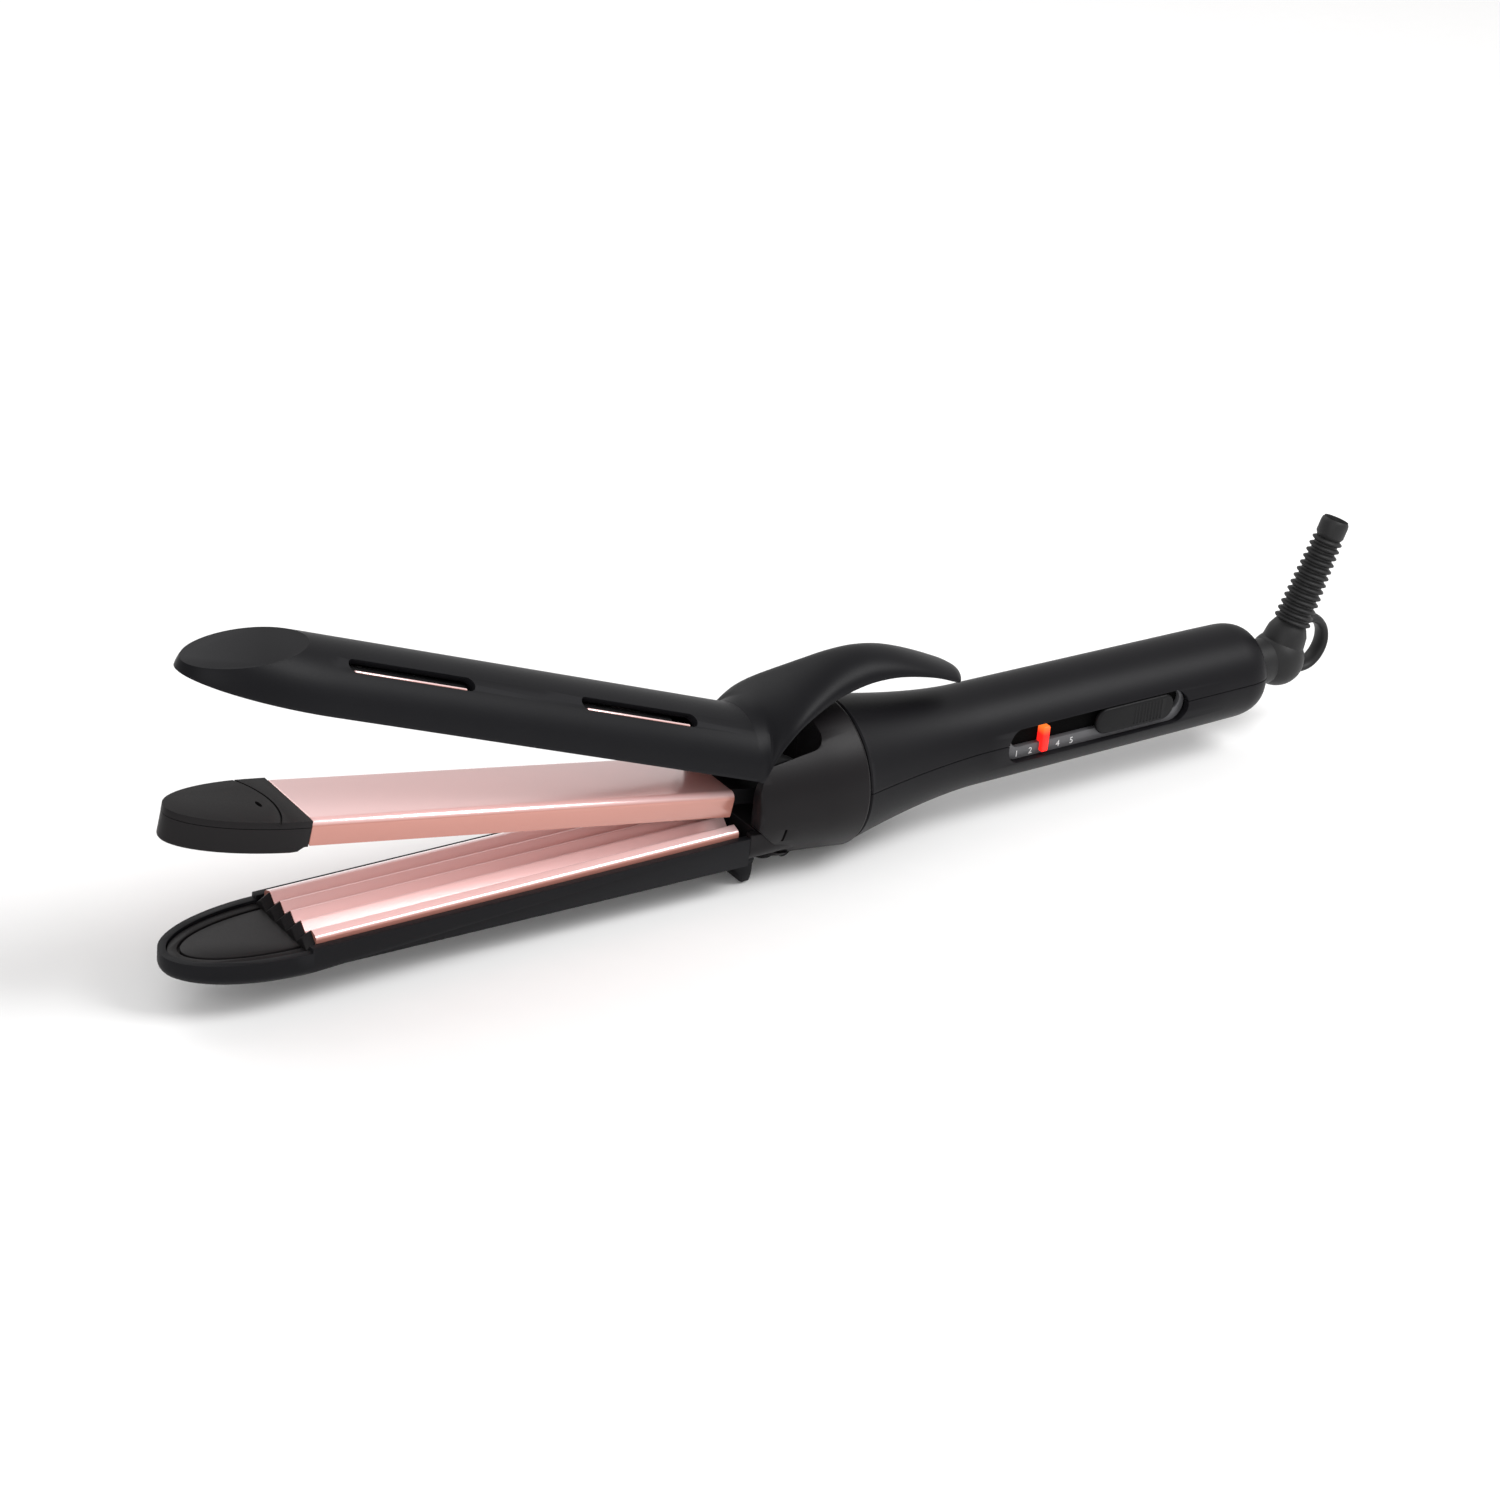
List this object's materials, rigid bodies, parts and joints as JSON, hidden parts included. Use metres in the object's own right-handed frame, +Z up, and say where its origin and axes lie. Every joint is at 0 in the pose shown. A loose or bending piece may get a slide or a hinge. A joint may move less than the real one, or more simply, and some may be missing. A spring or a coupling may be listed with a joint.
{
  "type": "hair crimper",
  "caption": "Handheld hair styler with a fixed ridged lower arm, hinged middle barrel, hinged vented upper arm with thumb lever, slide control and swivel cord boot.",
  "frame": {"origin": "centre of the flat bottom of the rest foot under the root of the lower arm", "axes": "+X along the handle's axis towards the cord, +Z up through the handle, with the thumb lever on top; the hinge pin lies along Y"},
  "size_m": [0.3542, 0.0392, 0.093],
  "materials": {
    "grip_plastic": "satin black moulded grip",
    "housing_plastic": "satin black moulded housing",
    "shell_plastic": "matte black heat resistant plastic",
    "nose_plastic": "matte black heat resistant plastic",
    "structural_nylon": "plain black nylon",
    "rose_ceramic": "rose gold ceramic coating on aluminium",
    "steel": "plated steel",
    "ceramic_heater": "fired ceramic",
    "insulation": "silicone and mica",
    "component_black": "moulded component",
    "board_green": "solder mask",
    "led_red": "lit red lens",
    "scale_grey": "satin grey",
    "knob_black": "ribbed black",
    "slide_white": "acetal",
    "brass": "plain brass",
    "lead_red": "silicone sleeve",
    "boot_rubber": "matte rubber"
  },
  "bodies": {
    "handle": {"handle_upper_shell": "grip_plastic", "handle_lower_shell": "grip_plastic", "hinge_housing_left": "housing_plastic", "hinge_housing_right": "housing_plastic", "hinge_pin": "steel", "housing_screws": "steel", "handle_screws": "steel", "lower_arm_screws": "steel", "lower_arm_shell": "shell_plastic", "lower_tip_insert": "nose_plastic", "crimp_plate": "rose_ceramic", "lower_heater": "ceramic_heater", "lower_heater_clamp": "insulation", "lower_thermostat": "component_black", "lower_heater_leads": "insulation", "control_board": "board_green", "temperature_switch": "component_black", "indicator_led": "led_red", "indicator_lens": "led_red", "scale_plate": "scale_grey", "contact_brushes": "brass", "brush_leads": "lead_red", "swivel_socket": "structural_nylon", "middle_arm_spring": "steel"},
    "middle_arm": {"middle_barrel": "rose_ceramic", "middle_nose": "nose_plastic", "middle_arm_root": "structural_nylon", "middle_heater": "ceramic_heater", "middle_heater_clip": "insulation", "thermal_fuse": "insulation", "middle_heater_leads": "insulation", "upper_arm_spring": "steel"},
    "upper_arm": {"upper_arm_shell": "shell_plastic", "upper_arm_frame": "structural_nylon", "upper_plate": "rose_ceramic", "upper_heat_shield": "rose_ceramic", "upper_plate_screws": "steel"},
    "temperature_slider": {"slider_knob": "knob_black", "slider_carriage": "slide_white"},
    "lock": {"lock_button": "knob_black", "lock_bar": "slide_white"},
    "cord_swivel": {"swivel_hub": "structural_nylon", "slip_rings": "brass", "cord_boot": "boot_rubber"}
  },
  "joints": [
    {"name": "middle_arm_hinge", "type": "hinge", "parent": "handle", "child": "middle_arm", "pos_m": [0.019, 0, 0.0206], "axis": [0, 1, 0], "range_deg": [-9.7, 0], "stiffness_Nm_per_rad": 0.25, "springref_deg": 22.92},
    {"name": "upper_arm_hinge", "type": "hinge", "parent": "middle_arm", "child": "upper_arm", "pos_m": [0.019, 0, 0.0206], "axis": [0, 1, 0], "range_deg": [-10.3, 0], "stiffness_Nm_per_rad": 0.25, "springref_deg": 22.92},
    {"name": "temperature_slide", "type": "slide", "parent": "handle", "child": "temperature_slider", "axis": [-1, 0, 0], "range_m": [0, 0.012]},
    {"name": "lock_slide", "type": "slide", "parent": "handle", "child": "lock", "axis": [-1, 0, 0], "range_m": [0, 0.005]},
    {"name": "cord_swivel_turn", "type": "hinge", "parent": "handle", "child": "cord_swivel", "pos_m": [0.1665, 0, 0.0206], "axis": [1, 0, 0], "continuous": true}
  ]
}
